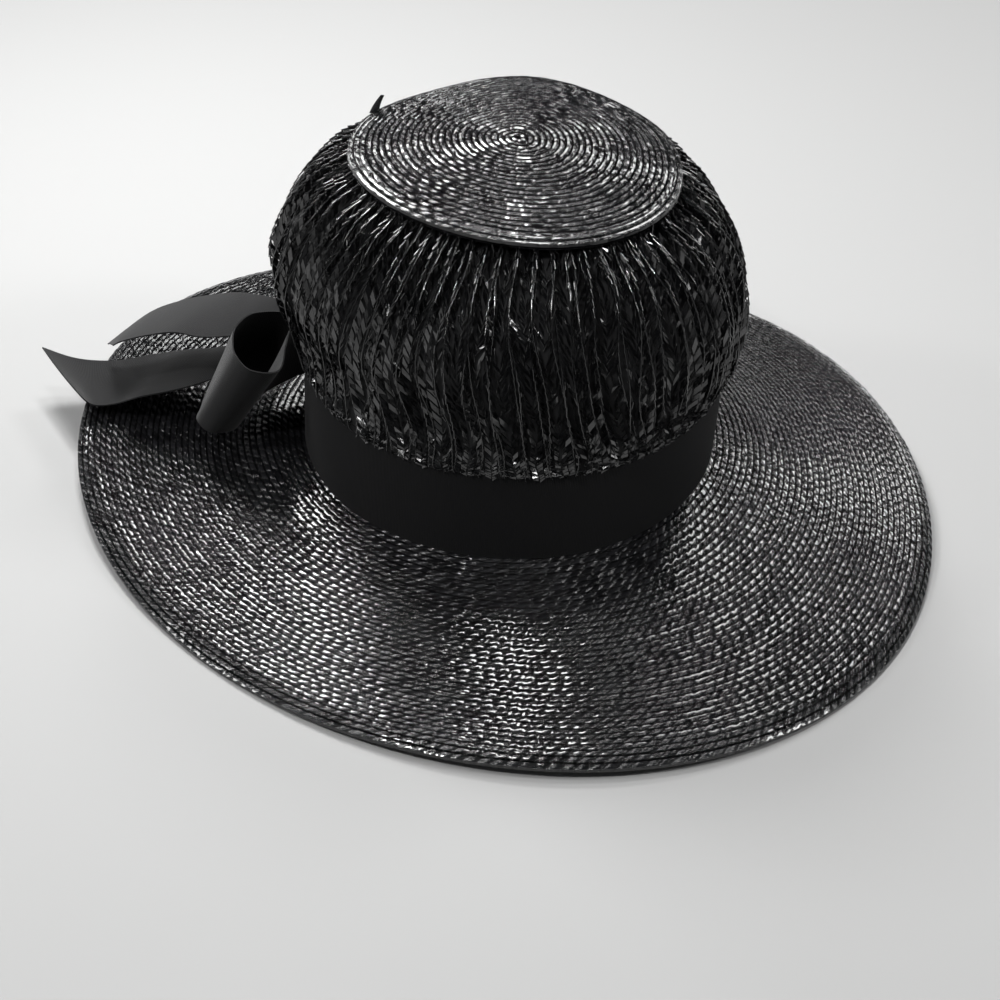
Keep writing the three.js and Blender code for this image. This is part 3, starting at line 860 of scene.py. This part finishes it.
class HAT_OT_gather_crown(bpy.types.Operator):
    """Gather the side of the crown from plaited strips"""

    bl_idname = "hat.gather_crown"
    bl_label = "Gather Crown"

    def execute(self, context):
        size = context.scene.hat_sizes
        straw = plaited_straw("plaited straw", context.scene.hat_colours.plait)
        # Painted shade: the sheet behind the strips is near-black and matt, a little darker than
        # the plait, so the slits between the strips read as shadow; it also closes the crown.
        shade_ground = plain_material("plaited ground", (0.002, 0.002, 0.0025), 0.9)
        self.gather("crown_plaits", self.plait(size), size, straw, soft=False)
        self.gather("crown_plait_edges", self.edge_cords(size), size, straw, soft=True)
        wall = self.wall(size)
        shade(wall)
        finish_piece(wall, shade_ground, "plaited_straw", "crown_side")
        return {"FINISHED"}

    def plait(self, size):
        """A straight plaited strip: columns of slanted leaves with slits between them."""
        deselect()
        pitch = size.plait_pitch
        breadth, slit, thick = size.plait_width / 4, 0.1 * MM, 0.3 * MM
        columns = []
        for column in range(4):
            side = -1 if column < 2 else 1
            outer = column in (0, 3)
            bpy.ops.mesh.primitive_cube_add(size=1)
            leaf = bpy.context.object
            corner = mesh_points(leaf)
            out = (corner[:, 0] + 0.5) * (breadth - slit) + slit / 2 + outer * breadth
            run = corner[:, 1] * pitch * 0.72 - out * LEAF_SLOPE - outer * pitch * 0.5
            run = run + 6 * MM + pitch * 0.25 * side
            rise = corner[:, 2] * thick + corner[:, 1] * 0.35 * MM
            rise = rise + (corner[:, 0] * 0.5 - outer * 0.45) * MM
            set_points(leaf, np.stack((out * side, run, rise), axis=-1))
            edit_mesh((bpy.ops.mesh.normals_make_consistent, {"inside": False}))
            self.repeat(leaf, pitch, int(STRIP_LENGTH / pitch))
            columns.append(leaf)
        strip = joined("plait", columns)
        points = mesh_points(strip)
        set_uv(strip, points[:, 0], points[:, 1] + np.abs(points[:, 0]) * LEAF_SLOPE)
        return strip

    def repeat(self, piece, pitch, count):
        """Repeats a piece along Y."""
        bpy.ops.object.modifier_add(type="ARRAY")
        row = piece.modifiers[-1]
        row.count = count
        row.use_relative_offset = False
        row.use_constant_offset = True
        row.constant_offset_displace = (0, pitch, 0)
        bpy.ops.object.modifier_apply(modifier=row.name)

    def edge_cords(self, size):
        """The folded edges of a straight plaited strip, a thin cord on either side."""
        deselect()
        cords = []
        for side in (-1, 1):
            bpy.ops.mesh.primitive_cylinder_add(
                vertices=5, radius=0.5, depth=1, end_fill_type="NOTHING"
            )
            cord = bpy.context.object
            turn = {"value": math.pi / 2, "orient_axis": "X", "center_override": (0, 0, 0)}
            edit_mesh((bpy.ops.transform.rotate, turn))
            ring = mesh_points(cord)
            lean = ring[:, 1] * 0.5 * MM
            out = size.plait_width / 2 + ring[:, 0] * 0.6 * MM + lean
            points = (out * side, ring[:, 1] * size.plait_pitch, ring[:, 2] * 0.5 * MM - 0.3 * MM)
            set_points(cord, np.stack(points, axis=-1))
            self.repeat(cord, size.plait_pitch, int((STRIP_LENGTH + 1 * MM) / size.plait_pitch))
            cords.append(cord)
        strip = joined("edges", cords)
        points = mesh_points(strip)
        set_uv(strip, points[:, 0], points[:, 1])
        return strip

    def gather(self, name, pattern, size, straw, soft):
        """Copies a straight pattern round the crown and bends each copy into its place."""
        places = mesh_points(pattern)
        strips = []
        for number in range(size.crown_strips):
            strip = pattern.copy()
            strip.data = pattern.data.copy()
            bpy.context.collection.objects.link(strip)
            set_points(strip, self.gathered(places, number, size, soft))
            strips.append(strip)
        bpy.data.objects.remove(pattern)
        piece = joined(name, strips)
        shade(piece, soft=soft)
        finish_piece(piece, straw, "plaited_straw", "crown_side")

    def fold(self, along, angle=None):
        """How steeply a strip's halves fold up, in degrees; with an angle, open on the left."""
        lay = np.interp(along, FOLD_PLACES, FOLD_ANGLES)
        if angle is None:
            return lay
        left = np.exp(-(((np.mod(angle, TURN) - OPEN_SIDE) / OPEN_SPREAD) ** 2))
        return lay * (1 - 0.6 * left * smooth((along - 0.15) / 0.2))

    def wall_depth(self, along, size):
        """How far the wall behind the strips lies below the crown's outer face."""
        return 0.9 * MM + size.plait_width / 2 * np.sin(self.fold(along) * DEGREE)

    def swollen(self, places, along, size):
        """The strip's edges, thicker towards the tip: side, distance from the fold, and height."""
        side = np.sign(places[:, 0])
        edge = side * size.plait_width / 2
        swell = 1 + 1.1 * (1 - smooth(along / 0.3))
        return side, np.abs(edge + (places[:, 0] - edge) * swell), places[:, 2] * swell

    def loosened(self, places, along, chance):
        """The strip's leaves, each tipped, scaled and sunk by chance: side, distance and height."""
        leaf = np.arange(len(places)) // LEAF_CORNERS
        centre = places.reshape(-1, LEAF_CORNERS, 3).mean(axis=1)[leaf]
        loose = 0.4 + 0.5 * (1 - smooth(along / 0.2)) - 0.25 * smooth((along - 0.9) / 0.06)
        shift = 2 * chance.random((4, len(places) // LEAF_CORNERS))[:, leaf] - 1
        tip_x, tip_y = (0.4 * shift[:2] + 0.6 * shift[:2] ** 3) * loose
        from_centre = (places - centre) * (0.92 + 0.16 * shift[2])[:, None]
        lift = places[:, 2] + from_centre[:, 0] * tip_x + from_centre[:, 1] * tip_y
        lift = lift - 1.6 * MM * (shift[3] > 0.72 - 0.25 * smooth((along - 0.6) / 0.3))
        return np.sign(centre[:, 0]), np.abs((centre + from_centre)[:, 0]), lift

    def gathered(self, places, number, size, soft):
        """Bends the straight strip down the side of the crown, folded along its middle."""
        chance = np.random.default_rng(1000 + number)
        length = (127 + 2 * chance.random()) * MM
        start = TURN * (number + 0.45 * (chance.random() - 0.5)) / size.crown_strips
        sunk = chance.random()
        phases = chance.random(4) * 2.6 + 2.5 * math.sin(start * 3) + np.array((0, 2, 4, 1))
        along = places[:, 1] / length
        if soft:
            side, across, lift = self.swollen(places, along, size)
        else:
            side, across, lift = self.loosened(places, along, chance)
        climb = 1.0 - np.clip(along, 0, 1)
        angle = start + self.wander(phases[:2], along) * 0.02
        angle = angle - 0.05 * smooth(along) * math.sin(start * 2 + 1)
        base = crown_surface(angle, climb)
        normal = outward(crown_surface, angle, np.clip(climb, 0.002, 0.998))
        down = unit(crown_surface(angle, climb - 0.004) - crown_surface(angle, climb + 0.004))
        sideways = unit(np.cross(normal, down))
        # Past the hem a strip runs on a little, ever less.
        hem = 1.5 * MM
        excess = np.clip(along - 1, 0, 1) * length
        base = base + down * (hem * (1 - np.exp(-excess / hem)))[:, None]
        fold = self.fold(along, angle)
        swing = (7 + 0.3 * fold) * self.wander(phases[2:], along) + 4
        deepest = size.plait_width / 2 * np.sin((fold + np.abs(swing)) * DEGREE)
        turn = (fold + side * swing) * DEGREE
        ring = np.linalg.norm(base[:, :2] - np.array((AXIS_X, AXIS_Y)), axis=1)
        gap = ring * TURN / size.crown_strips
        folded_width = size.plait_width * np.cos(fold * DEGREE)
        narrow = np.clip(STRIP_OVERLAP * gap / folded_width, 0.5, 1.0)
        across = across * narrow
        over = across * np.sin(turn) - deepest * narrow + lift * np.cos(turn)
        aside = side * (across * np.cos(turn) - lift * np.sin(turn))
        # Some strips lie deeper; all are tucked in at the hem and raised under the tip's rim.
        over = over - (0.2 + 0.9 * sunk * smooth((1 - along) / 0.2)) * MM
        over = over - 2.0 * MM * smooth((along - 0.95) / 0.06)
        over = over + 0.9 * MM * (1 - smooth(along / 0.04))
        over = np.maximum(over, 0.3 * MM - self.wall_depth(along, size))
        return base + normal * over[:, None] + sideways * aside[:, None]

    def wander(self, phases, along):
        """A slow wave along a strip, from -1 to 1."""
        slow, quick = TURN * 0.9 * along + phases[0], TURN * 2.1 * along + phases[1]
        return 0.6 * np.sin(slow) + 0.4 * np.sin(quick)

    def wall(self, size):
        """The dark sheet behind the strips, which closes the crown and shows inside it. Its
        near-black, matt colour is partly the straw's own black and partly painted shade, so the
        slits between the strips read as shadow.
        """

        def lay(u, v):
            angle = u * TURN
            base = crown_surface(angle, v)
            normal = outward(crown_surface, angle, np.clip(v, 0.002, 0.998))
            strips = np.abs(np.sin(math.pi * size.crown_strips * u))
            depth = self.wall_depth(1 - v, size) + 0.6 * MM * (1 - strips)
            return base - normal * depth[:, None], u * 0.6, v * 0.12

        piece = laid_grid("crown_side_wall", 400, 48, lay, closed=True)
        thicken(piece, 0.6 * MM)
        return piece


# ---- Ribbon ----
def ribbon_length(rows):
    """Length of a ribbon's middle line, in metres."""
    table = np.array(rows) * MM
    middle = catmull((table[:, :3] + table[:, 3:]) / 2, np.linspace(0, 1, 200))
    return np.linalg.norm(np.diff(middle, axis=0), axis=1).sum()


def ribbon_strip(name, rows, columns, cup, thickness):
    """A ribbon between the two edges that a table gives, a little hollow across by cup."""
    table = np.array(rows) * MM + np.tile((AXIS_X, AXIS_Y, FOOT), 2)
    length = ribbon_length(rows)

    def lay(u, v):
        far, near = catmull(table[:, :3], u), catmull(table[:, 3:], u)
        across = near - far
        step = 0.004
        ahead = catmull(table[:, :3], u + step) + catmull(table[:, 3:], u + step)
        behind = catmull(table[:, :3], u - step) + catmull(table[:, 3:], u - step)
        normal = unit(np.cross(ahead - behind, across))
        hollow = cup * (4 * v * (1 - v))
        points = far + across * v[:, None] + normal * hollow[:, None]
        return points, u * length, v * RIBBON_WIDTH

    piece = laid_grid(name, columns, 12, lay)
    thicken(piece, thickness, offset=0)
    return piece


class HAT_OT_wind_band(bpy.types.Operator):
    """Wind the ribbon round the foot of the crown"""

    bl_idname = "hat.wind_band"
    bl_label = "Wind Band"

    def execute(self, context):
        size = context.scene.hat_sizes
        ribbon = ribbed_ribbon("band ribbon", context.scene.hat_colours.ribbon, 0.02)
        low, high = BAND_BOX[0].z - FOOT, BAND_BOX[1].z - FOOT
        girth = TURN * (HEAD_RADIUS + 1.3 * MM)

        def lay(u, v):
            angle = u * TURN
            wave = 0.2 * MM * np.sin(9 * angle + 5 * v) * np.sin(4 * angle + 1) * (1 - v)
            radius = HEAD_RADIUS * head_shape(angle) + 1.2 * MM + wave
            points = ring_points(angle, radius, low + (high - low) * v)
            return points, u * girth, v * (high - low)

        piece = laid_grid("hat_band_ribbon", 240, 8, lay, closed=True)
        thicken(piece, size.ribbon_thickness)
        shade(piece, angle=RIBBON_EDGE)
        finish_piece(piece, ribbon, "band_ribbon", "hat_band")
        return {"FINISHED"}


class HAT_OT_tie_bow(bpy.types.Operator):
    """Tie the bow: a loop, two tails and the knot that holds them"""

    bl_idname = "hat.tie_bow"
    bl_label = "Tie Bow"

    def execute(self, context):
        size = context.scene.hat_sizes
        ribbon = ribbed_ribbon("bow ribbon", context.scene.hat_colours.ribbon, 0.17)
        pieces = (
            ("bow_loop_ribbon", LOOP_ROWS, 160, 0.0, "bow_loop", RIBBON_WIDTH),
            ("bow_upper_tail_ribbon", UPPER_TAIL_ROWS, 120, 0.6 * MM, "bow_tail_upper", 38 * MM),
            ("bow_lower_tail_ribbon", LOWER_TAIL_ROWS, 140, -0.6 * MM, "bow_tail_lower", 34 * MM),
        )
        for name, rows, columns, cup, node, width in pieces:
            piece = ribbon_strip(name, rows, columns, cup, size.ribbon_thickness)
            shade(piece, angle=RIBBON_EDGE)
            finish_piece(piece, ribbon, "bow_ribbon", node)
        self.fold_knot(ribbon)
        return {"FINISHED"}

    def fold_knot(self, ribbon):
        """The folded ribbon between the bow and the band."""
        low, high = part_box("bow_knot")
        middle = (low + high) / 2
        towards, spread = 165.5 * DEGREE, 8.2 * DEGREE

        def lay(u, v):
            angle = towards + (u - 0.5) * spread
            rise = np.sin(math.pi * u) ** 0.5 * (0.75 + 0.25 * np.cos(TURN * 3 * v))
            radius = HEAD_RADIUS * head_shape(angle) + 1.9 * MM + 5.2 * MM * rise
            tall = (high.z - low.z) * (1 - 0.08 * np.sin(math.pi * u))
            height = middle.z - FOOT + (v - 0.5) * tall
            return ring_points(angle, radius, height), v * 28 * MM, u * 16 * MM

        piece = laid_grid("bow_knot_ribbon", 24, 24, lay)
        thicken(piece, 0.8 * MM)
        shade(piece, angle=RIBBON_EDGE)
        finish_piece(piece, ribbon, "bow_ribbon", "bow_knot")


# ---- Stage ----
class HAT_OT_set_stage(bpy.types.Operator):
    """Set the floor, the lights and the camera"""

    bl_idname = "hat.set_stage"
    bl_label = "Set Stage"

    def execute(self, context):
        scene = context.scene
        deselect()
        bpy.ops.mesh.primitive_plane_add(size=12)
        floor = bpy.context.object
        floor.name = "floor"
        floor.data.materials.append(plain_material("floor paint", scene.hat_colours.floor, 0.9))
        world = bpy.data.worlds.new("studio")
        world.use_nodes = True
        background = world.node_tree.nodes["Background"]
        background.inputs["Color"].default_value = (0.8, 0.82, 0.85, 1)
        background.inputs["Strength"].default_value = 0.05
        scene.world = world
        scene.view_settings.view_transform = "Standard"
        for softbox in SOFTBOXES:
            self.light(*softbox)
        self.camera(scene)
        return {"FINISHED"}

    def light(self, name, towards, distance, size, power):
        """A softbox that faces the hat from a direction and a distance."""
        ray = Vector(towards).normalized()
        bpy.ops.object.light_add(type="AREA", location=Vector(LIT_POINT) + ray * distance)
        lamp = bpy.context.object
        lamp.name = name
        lamp.data.energy = power
        lamp.data.shape = "RECTANGLE"
        lamp.data.size, lamp.data.size_y = size
        lamp.rotation_euler = (-ray).to_track_quat("-Z", "Y").to_euler()

    def camera(self, scene):
        bpy.ops.object.camera_add()
        camera = bpy.context.object
        camera.data.lens = CAMERA_LENS
        camera.data.sensor_width = 36
        camera.data.shift_x, camera.data.shift_y = CAMERA_SHIFT
        target = Matrix.Translation((AXIS_X, AXIS_Y, FOOT))
        tilt = Matrix.Rotation(math.pi / 2 - CAMERA_ELEVATION, 4, "X")
        roll = Matrix.Rotation(CAMERA_ROLL, 4, "Z")
        camera.matrix_world = target @ tilt @ roll @ Matrix.Translation((0, 0, CAMERA_DISTANCE))
        camera.data.clip_start, camera.data.clip_end = 0.05, 30
        scene.camera = camera


# ---- Sidebar ----
class HAT_PT_sidebar(bpy.types.Panel):
    """Lists the hat's steps"""

    bl_label = "Straw Hat"
    bl_idname = "HAT_PT_sidebar"
    bl_space_type = "VIEW_3D"
    bl_region_type = "UI"
    bl_category = "Straw Hat"

    def draw(self, context):
        for group in (context.scene.hat_sizes, context.scene.hat_colours):
            for key in group.bl_rna.properties.keys():
                if key not in ("rna_type", "name"):
                    self.layout.prop(group, key)
        for step in STEPS:
            self.layout.operator(step.bl_idname)


STEPS = (
    HAT_OT_set_stage,
    HAT_OT_sew_brim,
    HAT_OT_coil_tip,
    HAT_OT_gather_crown,
    HAT_OT_wind_band,
    HAT_OT_tie_bow,
)
CLASSES = (HatSizes, HatColours, *STEPS, HAT_PT_sidebar)


def register():
    for made in CLASSES:
        bpy.utils.register_class(made)
    bpy.types.Scene.hat_sizes = bpy.props.PointerProperty(type=HatSizes)
    bpy.types.Scene.hat_colours = bpy.props.PointerProperty(type=HatColours)


def unregister():
    del bpy.types.Scene.hat_colours
    del bpy.types.Scene.hat_sizes
    for made in reversed(CLASSES):
        bpy.utils.unregister_class(made)


def main():
    register()
    bpy.ops.hat.set_stage()
    bpy.ops.hat.sew_brim()
    bpy.ops.hat.coil_tip()
    bpy.ops.hat.gather_crown()
    bpy.ops.hat.wind_band()
    bpy.ops.hat.tie_bow()


if __name__ == "__main__":
    main()
